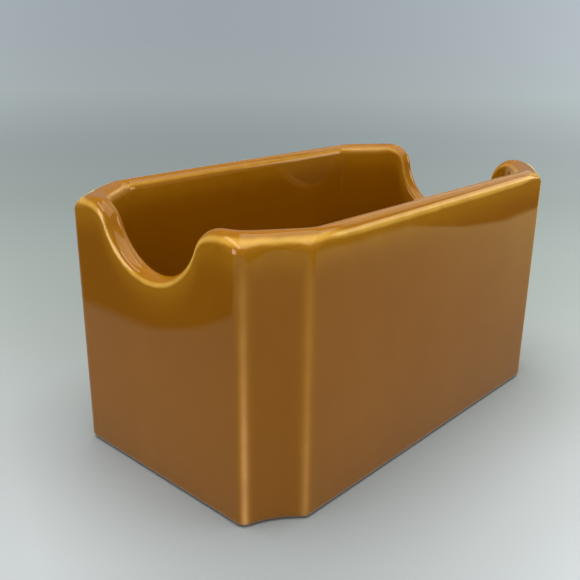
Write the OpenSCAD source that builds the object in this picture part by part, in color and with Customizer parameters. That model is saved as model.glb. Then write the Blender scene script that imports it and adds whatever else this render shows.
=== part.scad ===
// Table holder for paper sugar packets: one fired ceramic box with hollowed corners
// and a finger cut in each end wall. The clay, its glaze coat and the glaze under the
// base are separate solids that meet face to face.
// X runs along the box, Y across it, Z up. The origin is the centre of the base.

/* [Box] */
// Length over the end walls
box_length = 96; // [84:1:116]
// Width over the long walls
box_width = 56; // [52:1:70]
// Height to the top of the rim
box_height = 50; // [42:1:64]
// Thickness of a glazed wall
wall = 4; // [3:0.25:5.5]
// Height of the glazed floor above the table
floor_height = 5; // [4:0.25:8]
// Radius where the walls run into the floor
floor_radius = 6; // [3:0.5:8]

/* [Outer corners] */
// How far the hollow of a corner reaches along the end wall
hollow_end = 5.9; // [4.5:0.1:8]
// How far the hollow of a corner reaches along the long wall
hollow_side = 9.5; // [7:0.1:12]
// Radius of the hollow
hollow_radius = 17.3; // [12:0.1:40]
// Radius of the upright ridge on each side of a hollow
ridge_radius = 2; // [1:0.1:3]

/* [Inner corners] */
// How far the slant of an inner corner reaches along the end wall
slant_end = 7.6; // [6:0.1:9]
// How far the slant of an inner corner reaches along the long wall
slant_side = 10.4; // [8:0.1:13]
// Radius where the slant runs into the walls
slant_radius = 6; // [3:0.1:7]
// The same two distances and radius for the crest of the rim
crest_end = 7; // [6:0.1:8]
crest_side = 10.2; // [8.5:0.1:12]
crest_radius = 5; // [3:0.1:6]

/* [Finger cuts] */
// Radius of the round of both cuts
cut_radius = 12.2; // [11:0.1:13]
// Depth of the shallow cut below the rim, in the end wall at -X
shallow_cut_depth = 11; // [8:0.2:14]
// Depth of the deep cut below the rim, in the end wall at +X
deep_cut_depth = 15; // [11:0.2:16]
// Radius of the shoulder between a cut and the rim
shoulder_radius = 5.8; // [3.2:0.1:6.4]

/* [Rim and base] */
// Height of the rounding of the rim
rim_rise = 2.3; // [1.6:0.05:2.6]
// Height of the same rounding in the finger cuts
cut_rise = 1.6; // [1.2:0.05:2.3]
// How much lower the rounding starts at a corner's ridges
ridge_drop = 0.7; // [0:0.05:1.5]
// Distance from a ridge at which that has nearly gone
ridge_spread = 3; // [2:0.1:5]
// Radius of the outer edge of the base
base_radius = 1.2; // [0.8:0.1:2]
// Width of the bare foot that the box stands on
foot_width = 3.6; // [3:0.1:5]
// Depth of the recess inside the foot
recess_depth = 1.2; // [0.8:0.1:2]
// Thickness of the glaze
glaze = 0.4; // [0.25:0.05:0.6]
// Angle up the rounded base edge at which the glaze stops
glaze_line_angle = 30; // [20:5:45]

/* [Hidden] */

// Number of steps along each stretch of the plan outline, in one quarter of it
cut_steps = 8;
shoulder_steps = 5;
flat_steps = 2;
ridge_steps = 4;
hollow_steps = 5;
side_steps = 3;
// Number of steps round the base edge, over the rim and down into the floor
base_steps = 2;
rim_steps = 10;
floor_steps = 4;
half_length = box_length/2;
half_width = box_width/2;
// A cut and its shoulder touch at this distance between their centres
cut_reach = cut_radius + shoulder_radius;
// The line where the rounding of the rim starts, in a cut and beside it
cut_line = cut_radius + cut_rise;
shoulder_line = shoulder_radius - cut_rise;

function unit(angle) = [cos(angle), sin(angle)];
function angle_to(from, to) = atan2(to.y - from.y, to.x - from.x);
function steps(from, to, count) = [for (k = [0:count]) from + (to - from)*k/count];
function radians(angle) = angle*PI/180;
function degrees(angle) = angle*180/PI;
function clipped(value) = min(max(value, 0), 1);

// Plan outline, first quarter: [point, outward normal] from the end wall to the long wall
chord = norm([hollow_end, hollow_side]);
chord_angle = atan2(hollow_side, hollow_end);
chord_middle = [half_length - hollow_side/2, half_width - hollow_end/2];
hollow_centre = chord_middle + sqrt(pow(hollow_radius, 2) - pow(chord/2, 2))*unit(chord_angle);
ridge_reach = hollow_radius + ridge_radius;
end_ridge_x = half_length - ridge_radius;
side_ridge_y = half_width - ridge_radius;
end_ridge_drop = sqrt(pow(ridge_reach, 2) - pow(hollow_centre.x - end_ridge_x, 2));
side_ridge_drop = sqrt(pow(ridge_reach, 2) - pow(hollow_centre.y - side_ridge_y, 2));
end_ridge = [end_ridge_x, hollow_centre.y - end_ridge_drop];
side_ridge = [hollow_centre.x - side_ridge_drop, side_ridge_y];
end_ridge_angle = angle_to(end_ridge, hollow_centre);
side_ridge_angle = angle_to(side_ridge, hollow_centre);

function arc(centre, radius, angles) = [for (a = angles) [centre + radius*unit(a), unit(a)]];
function hollow_arc(angles) = [for (a = angles) [hollow_centre - hollow_radius*unit(a), unit(a)]];
function inside(list) = [for (k = [1:len(list) - 2]) list[k]];
function last(list) = list[len(list) - 1];
function total(list, count) = count == 0 ? 0 : list[count - 1] + total(list, count - 1);

outer_corner = concat(
    arc(end_ridge, ridge_radius, steps(0, end_ridge_angle, ridge_steps)),
    hollow_arc(inside(steps(end_ridge_angle, side_ridge_angle, hollow_steps))),
    arc(side_ridge, ridge_radius, steps(side_ridge_angle, 90, ridge_steps))
);

// Further in, a line is walked from the middle of the end wall: a straight, a round, a
// slant and a round, which ends on the long wall. It is kept as a list with these places.
RADIUS = 0;
TURN = 1;
CENTRE_1 = 2;
CENTRE_2 = 3;
function slanted(length, width, end, side, radius) =
    let (
        turn = atan2(side, end),
        normal = unit(turn),
        reach = normal*[length, width - end] - radius,
        x1 = length - radius,
        y2 = width - radius
    )
    [radius, turn, [x1, (reach - normal.x*x1)/normal.y], [(reach - normal.y*y2)/normal.x, y2]];
inner_line = slanted(half_length - wall, half_width - wall, slant_end, slant_side, slant_radius);
crest_line = slanted(half_length - wall/2, half_width - wall/2, crest_end, crest_side, crest_radius);

// Point and normal after some way along a line: the centre of its round moves along the
// straight and the slant, and the normal turns on the two rounds
function slant_length(line) = norm(line[CENTRE_2] - line[CENTRE_1]);
function walked(line, way) =
    let (
        past = way - line[CENTRE_1].y,
        round_way = line[RADIUS]*radians(line[TURN]),
        slant_share = clipped((past - round_way)/slant_length(line)),
        second = max(past - round_way - slant_length(line), 0),
        angle = degrees((clipped(past/round_way)*round_way + second)/line[RADIUS]),
        centre = line[CENTRE_1] + [0, min(past, 0)] + slant_share*(line[CENTRE_2] - line[CENTRE_1])
    )
    [centre + line[RADIUS]*unit(angle), unit(angle)];
function whole_way(line) = line[CENTRE_1].y + line[RADIUS]*radians(90) + slant_length(line);
// Way along a line to distance y from the middle of the end wall
function way_to(line, y) =
    let (
        past = y - line[CENTRE_1].y,
        angle = asin(min(max(past/line[RADIUS], 0), sin(line[TURN]))),
        slant_past = max(past - line[RADIUS]*sin(line[TURN]), 0)
    )
    min(y, line[CENTRE_1].y) + line[RADIUS]*radians(angle) + slant_past/cos(line[TURN]);

// Rim: a cut is an arc, each shoulder an arc the other way, and the rest is level
function cut_turn(depth) = acos(1 - depth/cut_reach);
function cut_edge(depth) = cut_line*sin(cut_turn(depth));
function cut_width(depth) = cut_reach*sin(cut_turn(depth));
function eased(share) = share*share*(3 - 2*share);
// Height of the rounding at distance y from the middle of an end wall. It grows along a
// shoulder from the cut's to the level rim's.
function rise(y, depth) =
    let (share = clipped((y - cut_edge(depth))/(cut_width(depth) - cut_edge(depth))))
    cut_rise + (rim_rise - cut_rise)*eased(share);
function in_cut(y, depth) = y <= cut_edge(depth);
function cut_slope(y) = asin(y/cut_line);
function shoulder_slope(y, depth) =
    asin(clipped((cut_width(depth) - y)/(shoulder_radius - rise(y, depth))));
function slope(y, depth) = in_cut(y, depth) ? cut_slope(y) : shoulder_slope(y, depth);
// Height at which the rounding starts, at distance y from the middle of an end wall
function rim_line(y, depth) =
    in_cut(y, depth)
        ? box_height + cut_radius - depth - cut_line*cos(cut_slope(y))
        : box_height - shoulder_radius + (shoulder_radius - rise(y, depth))*cos(shoulder_slope(y, depth));

// Distances from the middle of an end wall to the columns of its cut and shoulder
function cut_places(depth) =
    let (turn = cut_turn(depth))
    concat(
        [for (a = steps(0, turn, cut_steps)) cut_line*sin(a)],
        [for (k = [1:shoulder_steps]) cut_width(depth) - shoulder_line*sin(turn*(1 - k/shoulder_steps))]
    );

// Points and normals from the middle of an end wall to the end of its corner
function outer_points(places) =
    let (level = inside(steps(last(places), outer_corner[0][0].y, flat_steps + 1)))
    concat([for (y = concat(places, level)) [[half_length, y], unit(0)]], outer_corner);
// In a cut a line further in keeps level with the outer face, so that the cut goes straight
// through, and past it each point is at the same share of the way as on the outer face
function line_points(line, places, shares) =
    let (start = way_to(line, last(places)))
    concat(
        [for (y = places) walked(line, way_to(line, y))],
        [for (share = shares) walked(line, start + share*(whole_way(line) - start))]
    );
function shares_past(points, first) =
    let (
        step = [for (k = [first + 1:len(points) - 1]) norm(points[k][0] - points[k - 1][0])],
        way = [for (k = [1:len(step)]) total(step, k)]
    )
    way/last(way);

// Where a point of the inner outline comes down on the floor: nearer the middle by the
// fillet's radius past the end of a straight stretch, and in proportion along it
function pulled_in(distance, straight_end) = distance - floor_radius*min(distance/straight_end, 1);
function floor_place(p) = [pulled_in(p.x, inner_line[CENTRE_2].x), pulled_in(p.y, inner_line[CENTRE_1].y)];

// 1 beside a ridge and near 0 beyond twice the spread
ridge_tops = [for (k = [ridge_steps/2, len(outer_corner) - 1 - ridge_steps/2]) outer_corner[k][0]];
function near_ridge(p) = exp(-pow(min([for (top = ridge_tops) norm(p - top)])/ridge_spread, 2));

// A column is a list with these places
OUTER = 0;
OUTER_NORMAL = 1;
CREST = 2;
INNER = 3;
INNER_NORMAL = 4;
FLOOR = 5;
DROP = 6;
CUT = 7;
function column(outer, crest, inner, depth) =
    [
        outer[0], outer[1], crest[0], inner[0], inner[1],
        floor_place(inner[0]), ridge_drop*near_ridge(outer[0]), depth
    ];
function moved_along(place, share) = [[place[0].x*share, place[0].y], place[1]];
function quarter(depth) =
    let (
        places = cut_places(depth),
        outer = outer_points(places),
        shares = shares_past(outer, len(places) - 1),
        crest = line_points(crest_line, places, shares),
        inner = line_points(inner_line, places, shares)
    )
    concat(
        [for (k = [0:len(outer) - 1]) column(outer[k], crest[k], inner[k], depth)],
        [for (k = [1:side_steps])
            let (
                share = 1 - k/side_steps,
                moved = [for (line = [outer, crest, inner]) moved_along(last(line), share)]
            )
            column(moved[0], moved[1], moved[2], depth)]
    );

// The whole outline, mirrored from the two kinds of quarter
function mirrored(columns, sx, sy) = [
    for (c = columns) [for (k = [OUTER:CUT]) is_list(c[k]) ? [c[k].x*sx, c[k].y*sy] : c[k]]
];
function backwards(list) = [for (k = [len(list) - 1:-1:0]) list[k]];
function without_last(list) = [for (k = [0:len(list) - 2]) list[k]];
deep = quarter(deep_cut_depth);
shallow = quarter(shallow_cut_depth);
columns = concat(
    without_last(mirrored(deep, 1, 1)),
    without_last(backwards(mirrored(shallow, -1, 1))),
    without_last(mirrored(shallow, -1, -1)),
    without_last(backwards(mirrored(deep, 1, -1)))
);
count = len(columns);

// Sections of the skin, each for one column and a depth under the glazed surface
function lifted(p, z) = [p.x, p.y, z];
function base_point(c, angle, under) =
    lifted(
        c[OUTER] - c[OUTER_NORMAL]*(base_radius - (base_radius - under)*sin(angle)),
        base_radius - (base_radius - under)*cos(angle)
    );
// A quarter of an ellipse from the outer face to the crest, and one from there to the inner face
function rim_point(c, angle, under) =
    let (
        place = abs(c[CREST].y),
        crest = lifted(c[CREST], rim_line(place, c[CUT])),
        outer = lifted(c[OUTER], rim_line(abs(c[OUTER].y), c[CUT]) - c[DROP]),
        inner = lifted(c[INNER], rim_line(abs(c[INNER].y), c[CUT])),
        way = (angle < 90 ? outer : inner) - crest,
        side = way/norm(way)*(norm(way) - under),
        lean = slope(place, c[CUT]),
        up = [0, -sign(c[CREST].y)*sin(lean), cos(lean)]
    )
    crest + side*abs(cos(angle)) + up*(rise(place, c[CUT]) - under)*sin(angle);
function floor_point(c, angle, under) =
    lifted(
        c[FLOOR] + (c[INNER] - c[FLOOR] + c[INNER_NORMAL]*under)*cos(angle),
        floor_height + floor_radius - (floor_radius + under)*sin(angle)
    );

base_angles = steps(glaze_line_angle, 90, base_steps);
rim_angles = steps(0, 180, rim_steps);
floor_angles = steps(0, 90, floor_steps);
function glazed_rings(under) = concat(
    [for (a = base_angles) [for (c = columns) base_point(c, a, under)]],
    [for (a = rim_angles) [for (c = columns) rim_point(c, a, under)]],
    [for (a = floor_angles) [for (c = columns) floor_point(c, a, under)]]
);
function floor_middle(under) = [0, 0, floor_height - under];

// Faces between rings that follow each other, and fans to a middle point
function joined(rings) = [for (r = rings) each r];
function strip_faces(first, rings, inward = false) = [
    for (r = [0:rings - 2], k = [0:count - 1])
        let (
            a = first + r*count + k,
            b = first + r*count + (k + 1)%count
        )
        each inward ? [[a, b + count, a + count], [a, b, b + count]]
                    : [[a, a + count, b + count], [a, b + count, b]]
];
function bridge_faces(lower, upper) = [
    for (k = [0:count - 1])
        let (next = (k + 1)%count)
        each [[lower + k, upper + k, upper + next], [lower + k, upper + next, lower + next]]
];
function fan_faces(ring, middle, inward = false) = [
    for (k = [0:count - 1])
        let (next = (k + 1)%count)
        inward ? [ring + k, ring + next, middle] : [ring + k, middle, ring + next]
];

// Foot: the underside of the clay, from the recess to the glaze line
recess_inset = base_radius + foot_width - wall;
recess_edge = [for (c = columns) c[INNER] - c[INNER_NORMAL]*recess_inset];
foot_edge = [for (c = columns) c[OUTER] - c[OUTER_NORMAL]*base_radius];
function level_ring(outline, z) = [for (p = outline) lifted(p, z)];

// Slip-cast body with its bare foot
module clay_body() {
    glazed = glazed_rings(glaze);
    rings = concat(
        [level_ring(recess_edge, recess_depth), level_ring(recess_edge, 0), level_ring(foot_edge, 0)],
        glazed
    );
    total = len(rings)*count;
    color([0.78, 0.68, 0.55])
        polyhedron(
            points = concat(joined(rings), [[0, 0, recess_depth], floor_middle(glaze)]),
            faces = concat(
                fan_faces(0, total, true),
                strip_faces(0, len(rings)),
                fan_faces(total - count, total + 1)
            )
        );
}

// Glassy coat over the walls, the rim, the inside and the floor
module glaze_coat() {
    surface = glazed_rings(0);
    seat = glazed_rings(glaze);
    rings = len(surface);
    total = 2*rings*count;
    color([0.62, 0.4, 0.1])
        polyhedron(
            points = concat(joined(surface), joined(seat), [floor_middle(0), floor_middle(glaze)]),
            faces = concat(
                strip_faces(0, rings),
                fan_faces((rings - 1)*count, total),
                strip_faces(rings*count, rings, true),
                fan_faces((2*rings - 1)*count, total + 1, true),
                bridge_faces(rings*count, 0)
            )
        );
}

// Glaze inside the recess of the foot
module base_glaze() {
    color([0.55, 0.35, 0.1])
        translate([0, 0, recess_depth - glaze])
            linear_extrude(height = glaze)
                polygon(recess_edge);
}

clay_body();
glaze_coat();
base_glaze();
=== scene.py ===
# %% [markdown]
# # A glazed ceramic holder for sugar packets
#
# The object is one fired piece: a slip-cast box of pale clay under an amber glaze, with
# hollowed corners and a finger cut in each end wall. The solids of the box are already
# measured and packed, and they load here as a fixed frame. This lesson adds what they
# lack: the glaze as a smooth, slightly uneven glassy skin, its changes of colour where it
# runs thin, the dry clay of the foot, and a table with soft light.

import math

import bpy
import numpy as np
from mathutils import Matrix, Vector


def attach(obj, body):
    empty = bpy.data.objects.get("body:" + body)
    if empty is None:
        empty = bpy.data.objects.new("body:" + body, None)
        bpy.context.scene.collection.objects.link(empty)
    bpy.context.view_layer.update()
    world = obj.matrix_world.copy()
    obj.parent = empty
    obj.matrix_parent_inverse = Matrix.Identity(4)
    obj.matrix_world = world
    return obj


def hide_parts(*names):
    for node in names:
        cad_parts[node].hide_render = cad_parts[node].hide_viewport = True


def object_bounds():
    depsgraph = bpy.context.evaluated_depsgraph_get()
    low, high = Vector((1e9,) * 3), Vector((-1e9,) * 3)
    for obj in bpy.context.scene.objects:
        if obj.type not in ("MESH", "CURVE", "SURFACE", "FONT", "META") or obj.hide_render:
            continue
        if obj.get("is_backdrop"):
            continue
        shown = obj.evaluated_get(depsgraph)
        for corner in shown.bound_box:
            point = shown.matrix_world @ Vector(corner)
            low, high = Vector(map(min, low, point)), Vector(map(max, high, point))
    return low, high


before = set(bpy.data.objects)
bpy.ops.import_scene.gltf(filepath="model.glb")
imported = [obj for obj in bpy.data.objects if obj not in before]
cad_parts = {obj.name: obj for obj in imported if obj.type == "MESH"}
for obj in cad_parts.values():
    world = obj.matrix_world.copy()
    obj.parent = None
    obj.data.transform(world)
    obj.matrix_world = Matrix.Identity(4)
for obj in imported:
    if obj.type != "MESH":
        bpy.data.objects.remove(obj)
cad_low, cad_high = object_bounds()
MM = 0.001
scene = bpy.context.scene
scene.view_settings.view_transform = "Standard"  # shows each colour as it is written
print("frame box in mm:", [round(v / MM, 2) for v in (*cad_low, *cad_high)])

# %% [markdown]
# ## The camera
#
# The camera stands where the photograph was taken from: straight off the near corner, a
# hand's breadth away and a little above the rim. Its angles are turns about the table's
# upright, above the horizon and about its own line of sight. Three vectors, to the right,
# up and back, make the turning matrix. They follow from the angles alone, whatever the
# size of the image.

# %% Camera
CAMERA_AZIMUTH = math.radians(-47.467)
CAMERA_ELEVATION = math.radians(19.289)
CAMERA_ROLL = math.radians(0.594)
CAMERA_PLACE = np.array([-118.75, -97.15, 78.24]) * MM
LENS = 46.115  # millimetres, for Blender's usual sensor 36 mm wide


def camera_axes(azimuth, elevation, roll):
    """Right, up and back vectors: back points from the object to the camera, right is
    level, up is square to both, and roll turns right and up about back."""
    back = np.array([
        math.sin(azimuth) * math.cos(elevation),
        -math.cos(azimuth) * math.cos(elevation),
        math.sin(elevation),
    ])
    level = np.array([math.cos(azimuth), math.sin(azimuth), 0.0])
    upright = np.cross(back, level)
    right = math.cos(roll) * level + math.sin(roll) * upright
    up = math.cos(roll) * upright - math.sin(roll) * level
    return right, up, back


def set_matrix(item, vectors, place):
    """Puts an object at a place, turned so that its X, Y and Z are the three vectors."""
    rows = np.column_stack([*vectors, place])
    item.matrix_world = Matrix([*rows.tolist(), [0, 0, 0, 1]])


camera = bpy.data.objects.new("camera", bpy.data.cameras.new("camera"))
scene.collection.objects.link(camera)
camera.data.lens = LENS
camera.data.clip_start = 1 * MM
camera_right, camera_up, camera_back = camera_axes(CAMERA_AZIMUTH, CAMERA_ELEVATION, CAMERA_ROLL)
set_matrix(camera, (camera_right, camera_up, camera_back), CAMERA_PLACE)
scene.camera = camera
print("camera looks along", np.round(-camera_back, 3))

# %% [markdown]
# ## The plan of the outer wall
#
# Seen from above, each corner of the box is cut away by a shallow hollow that runs from
# foot to rim, with an upright ridge on each side of it. In plan that is three arcs that
# touch: a small one turning off the end wall, a large one turning the other way, and a
# small one turning on to the long wall. Arcs carry their own outward normals, which the
# glaze needs later, so each list of points comes with a list of normals.

# %% Outer corner
HALF_LENGTH = (cad_high.x - cad_low.x) / 2
HALF_WIDTH = (cad_high.y - cad_low.y) / 2
BOX_HEIGHT = cad_high.z
HOLLOW_END = 5.9 * MM
HOLLOW_SIDE = 9.5 * MM
HOLLOW_RADIUS = 17.3 * MM
RIDGE_RADIUS = 2.0 * MM
RIDGE_STEPS = 12
HOLLOW_STEPS = 16


def unit(angle):
    """The plan vector of length one at an angle from X."""
    return np.stack([np.cos(angle), np.sin(angle)], axis=-1)


def arc(centre, radius, start, end, count):
    """Points and normals at even angles on a circle's arc: the centre plus the radius times
    the direction, and the direction. With a radius below 0 the arc lies on the other side
    of the centre and is a hollow, whose normals point at the centre."""
    directions = unit(np.linspace(start, end, count + 1))
    return centre + radius * directions, directions


def outer_corner():
    """The first corner, from the end wall to the long wall. The hollow's centre lies off
    the middle of its chord. Each ridge's centre is a ridge's radius inside its wall, and
    the sum of both radii away from the hollow's centre."""
    chord = math.hypot(HOLLOW_END, HOLLOW_SIDE)
    middle = np.array([HALF_LENGTH - HOLLOW_SIDE / 2, HALF_WIDTH - HOLLOW_END / 2])
    away = unit(math.atan2(HOLLOW_SIDE, HOLLOW_END))
    centre = middle + math.sqrt(HOLLOW_RADIUS**2 - (chord / 2) ** 2) * away
    reach = HOLLOW_RADIUS + RIDGE_RADIUS
    end_x = HALF_LENGTH - RIDGE_RADIUS
    side_y = HALF_WIDTH - RIDGE_RADIUS
    end_ridge = np.array([end_x, centre[1] - math.sqrt(reach**2 - (centre[0] - end_x) ** 2)])
    side_ridge = np.array([centre[0] - math.sqrt(reach**2 - (centre[1] - side_y) ** 2), side_y])
    end_turn = math.atan2(*(centre - end_ridge)[::-1])
    side_turn = math.atan2(*(centre - side_ridge)[::-1])
    first, first_out = arc(end_ridge, RIDGE_RADIUS, 0, end_turn, RIDGE_STEPS)
    hollow, hollow_in = arc(centre, -HOLLOW_RADIUS, end_turn, side_turn, HOLLOW_STEPS)
    last, last_out = arc(side_ridge, RIDGE_RADIUS, side_turn, math.pi / 2, RIDGE_STEPS)
    points = np.vstack([first, hollow[1:-1], last])
    return points, np.vstack([first_out, hollow_in[1:-1], last_out])


corner, corner_out = outer_corner()
print("corner:", len(corner), "points, from", corner[0] / MM, "to", corner[-1] / MM)

# %% [markdown]
# ## The plan of the lines inside
#
# The inside follows the outside: a slant crosses each corner behind the hollow, and a
# round runs it into the end wall and the long wall. The crest of the rim is a line of
# the same kind, a little nearer the outside. Such a line is walked from the middle of
# the end wall. The centre of its round moves along the straight and the slant, and the
# normal turns on the two rounds, so one formula gives the place after any way.

# %% Slanted corners
WALL = 4.0 * MM
FLOOR_HEIGHT = 5.0 * MM
FLOOR_RADIUS = 6.0 * MM
SLANT_END = 7.6 * MM
SLANT_SIDE = 10.4 * MM
SLANT_RADIUS = 6.0 * MM
CREST_END = 7.0 * MM
CREST_SIDE = 10.2 * MM
CREST_RADIUS = 5.0 * MM


class SlantedLine:
    """A line with a slanted corner. The slant's own line passes through the point on the
    end wall that lies its reach below the corner, and both rounds touch it."""

    def __init__(self, length, width, end, side, radius):
        self.radius = radius
        self.turn = math.atan2(side, end)
        normal = unit(self.turn)
        reach = normal @ [length, width - end] - radius
        x, y = length - radius, width - radius
        self.first = np.array([x, (reach - normal[0] * x) / normal[1]])
        self.second = np.array([(reach - normal[1] * y) / normal[0], y])
        self.slant = math.hypot(*(self.second - self.first))
        self.whole = self.first[1] + radius * math.pi / 2 + self.slant

    def walked(self, way):
        """Points and normals after given ways along the line."""
        past = way - self.first[1]
        first_round = self.radius * self.turn
        turned = np.clip(past, 0, first_round) + np.maximum(past - first_round - self.slant, 0)
        normals = unit(turned / self.radius)
        share = np.clip((past - first_round) / self.slant, 0, 1)[:, None]
        centres = self.first + share * (self.second - self.first)
        centres[:, 1] += np.minimum(past, 0)
        return centres + self.radius * normals, normals

    def way_to(self, y):
        """Ways along the line to given distances from the middle of the end wall."""
        past = y - self.first[1]
        angle = np.arcsin(np.clip(past / self.radius, 0, math.sin(self.turn)))
        slant_past = np.maximum(past - self.radius * math.sin(self.turn), 0)
        return np.minimum(y, self.first[1]) + self.radius * angle + slant_past / math.cos(self.turn)


inner_line = SlantedLine(HALF_LENGTH - WALL, HALF_WIDTH - WALL, SLANT_END, SLANT_SIDE, SLANT_RADIUS)
crest_line = SlantedLine(
    HALF_LENGTH - WALL / 2, HALF_WIDTH - WALL / 2, CREST_END, CREST_SIDE, CREST_RADIUS
)
print("the inner corner turns between", inner_line.first / MM, "and", inner_line.second / MM)

# %% [markdown]
# ## The line of the rim
#
# The rim is level except where a finger cut dips into an end wall. A cut is a round, and
# on each side a smaller round turns the other way and lifts it back to the rim. The two
# cuts aren't alike: the one in the far end wall is deeper. The height of the rim's middle
# line, and how far it leans, are functions of the distance from the middle of the wall.

# %% Rim line
CUT_RADIUS = 12.2 * MM
SHALLOW_CUT = 11.0 * MM
DEEP_CUT = 15.0 * MM
SHOULDER_RADIUS = 5.8 * MM
RIM_RISE = 2.3 * MM
CUT_RISE = 1.6 * MM
CUT_REACH = CUT_RADIUS + SHOULDER_RADIUS
CUT_LINE = CUT_RADIUS + CUT_RISE


def cut_turn(depth):
    """The angle at which a cut of this depth meets its shoulders."""
    return np.arccos(1 - depth / CUT_REACH)


def rim_line(y, depth):
    """Height, lean and rise of the rim at distance y from the middle of the wall: the
    height of the line where the wall ends and the rounding starts, how far it leans, and
    how high the rounding rises over it. In the cut the line is a circle round a centre a
    cut's radius above its bottom, on the shoulder one round a centre a shoulder's radius
    below the rim, and the rise changes smoothly along the shoulder."""
    turn = cut_turn(depth)
    edge, width = CUT_LINE * np.sin(turn), CUT_REACH * np.sin(turn)
    share = np.clip((y - edge) / (width - edge), 0, 1)
    rise = CUT_RISE + (RIM_RISE - CUT_RISE) * share**2 * (3 - 2 * share)
    cut_lean = np.arcsin(np.clip(y / CUT_LINE, 0, 1))
    shoulder_line = SHOULDER_RADIUS - rise
    shoulder_lean = np.arcsin(np.clip((width - y) / shoulder_line, 0, 1))
    cut_height = BOX_HEIGHT + CUT_RADIUS - depth - CUT_LINE * np.cos(cut_lean)
    shoulder_height = BOX_HEIGHT - SHOULDER_RADIUS + shoulder_line * np.cos(shoulder_lean)
    in_cut = y <= edge
    return np.where(in_cut, cut_height, shoulder_height), np.where(in_cut, cut_lean, shoulder_lean), rise


for name, depth in (("shallow", SHALLOW_CUT), ("deep", DEEP_CUT)):
    low = rim_line(np.zeros(1), depth)[0][0] + CUT_RISE
    width = 2 * CUT_REACH * math.sin(cut_turn(depth))
    print(name, "cut: bottom", round(low / MM, 2), "mm up,", round(width / MM, 1), "mm wide")

# %% [markdown]
# ## Columns round the box
#
# One coordinate of the skin runs round the box and the other over its wall. A column is
# a place round the box. Columns stand close together where the wall turns and further
# apart where it is flat, so that the smooth shading stays true next to a ridge. In a cut
# the lines further in keep level with the outer face, so that the cut goes straight
# through the wall. Past it, each point is at the same share of the way as on the outer
# face. One quarter is worked out and mirrored into the other three.

# %% Columns
CUT_STEPS = 22
SHOULDER_STEPS = 14
LEVEL_STEPS = 10
SIDE_STEPS = 24
RIDGE_TOP = 0.5


def eased(count):
    """Shares between 0 and 1 that are close together at both ends: half of one less the
    cosine, at even angles up to a half turn, without the first and the last."""
    return (1 - np.cos(np.linspace(0, math.pi, count + 2)[1:-1])) / 2


def cut_places(depth):
    """Distances of columns from the middle of the end wall: even angles round the cut,
    then round its shoulder, up to where the rim is level."""
    turn = cut_turn(depth)
    cut = CUT_LINE * np.sin(np.linspace(0, turn, CUT_STEPS + 1))
    shoulder = (SHOULDER_RADIUS - CUT_RISE) * np.sin(np.linspace(turn, 0, SHOULDER_STEPS + 1)[1:])
    return np.concatenate([cut, CUT_REACH * np.sin(turn) - shoulder])


def outer_columns(places):
    """Points and normals of the outer face from the middle of the end wall to the corner's
    end: the cut's columns, the level stretch and the corner."""
    level = places[-1] + (corner[0, 1] - places[-1]) * eased(LEVEL_STEPS)
    flat = np.concatenate([places, level])
    points = np.stack([np.full(len(flat), HALF_LENGTH), flat], axis=-1)
    return np.vstack([points, corner]), np.vstack([unit(0 * flat), corner_out])


def shares_past(points, first):
    """Shares of the way past the first point, for the points that follow it."""
    way = np.cumsum(np.linalg.norm(np.diff(points[first:], axis=0), axis=-1))
    return way / way[-1]


def line_columns(line, places, shares):
    """Points and normals of a line further in: at the same distances from the middle in
    the cut, and then at shares of what is left of the line."""
    ways = line.way_to(places)
    return line.walked(np.concatenate([ways, ways[-1] + shares * (line.whole - ways[-1])]))


def quarter(depth):
    """The columns of one quarter as a dictionary of arrays: outer point and normal,
    crest point, inner point and normal, and the depth of the cut. The long wall's columns
    are the corner's last one moved to shares of its distance from the middle."""
    places = cut_places(depth)
    columns = {}
    columns["outer"], columns["outer_normal"] = outer_columns(places)
    shares = shares_past(columns["outer"], len(places) - 1)
    columns["crest"], _ = line_columns(crest_line, places, shares)
    columns["inner"], columns["inner_normal"] = line_columns(inner_line, places, shares)
    share = 1 - np.append(eased(SIDE_STEPS), 1.0)[:, None]
    for key, points in columns.items():
        moved = points[-1] * [0, 1] + points[-1] * [1, 0] * share
        along = np.array([0.0, 1.0]) if "normal" in key else moved
        columns[key] = np.vstack([points, np.broadcast_to(along, (len(share), 2))])
    columns["depth"] = np.full(len(columns["outer"]), depth)
    return columns


def whole_outline():
    """Four mirrored quarters in one ring, each without its last column, which is the
    next one's first."""
    deep, shallow = quarter(DEEP_CUT), quarter(SHALLOW_CUT)
    order = ((deep, 1, 1, 1), (shallow, -1, 1, -1), (shallow, -1, -1, 1), (deep, 1, -1, -1))
    ring = {}
    for key in deep:
        parts = []
        for source, sign_x, sign_y, step in order:
            values = source[key] if key == "depth" else source[key] * [sign_x, sign_y]
            parts.append(values[::step][:-1])
        ring[key] = np.concatenate(parts)
    return ring


def pulled_in(distance, straight_end):
    """Distances from the middle, less the fillet's radius past the end of a straight
    stretch and in proportion along it."""
    along = np.minimum(np.abs(distance) / straight_end, 1)
    return distance - np.sign(distance) * FLOOR_RADIUS * along


def bump(distance, width):
    """A smooth hill, 1 at distance 0 and near 0 beyond twice the width: e to the power of
    minus the square of the distance over the width."""
    return np.exp(-((distance / width) ** 2))


def near_ridges(place, width, sides=(0, 1)):
    """How near each column is to the nearest ridge, as a hill of some width. The place is
    where the hill stands on the ridge's arc: 0 at the flat wall and 1 at the hollow. Side
    0 is the end walls' ridge of each corner and side 1 is the long walls'."""
    step = round(place * RIDGE_STEPS)
    tops = corner[[(step, len(corner) - 1 - step)[side] for side in sides]]
    distance = np.linalg.norm(np.abs(ring["outer"])[:, None] - tops[None], axis=-1).min(axis=1)
    return bump(distance, width)


ring = whole_outline()
straight_ends = (inner_line.second[0], inner_line.first[1])
pulled = [pulled_in(ring["inner"][:, k], end) for k, end in enumerate(straight_ends)]
ring["floor"] = np.stack(pulled, axis=-1)
print("columns round the box:", len(ring["depth"]))

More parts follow.
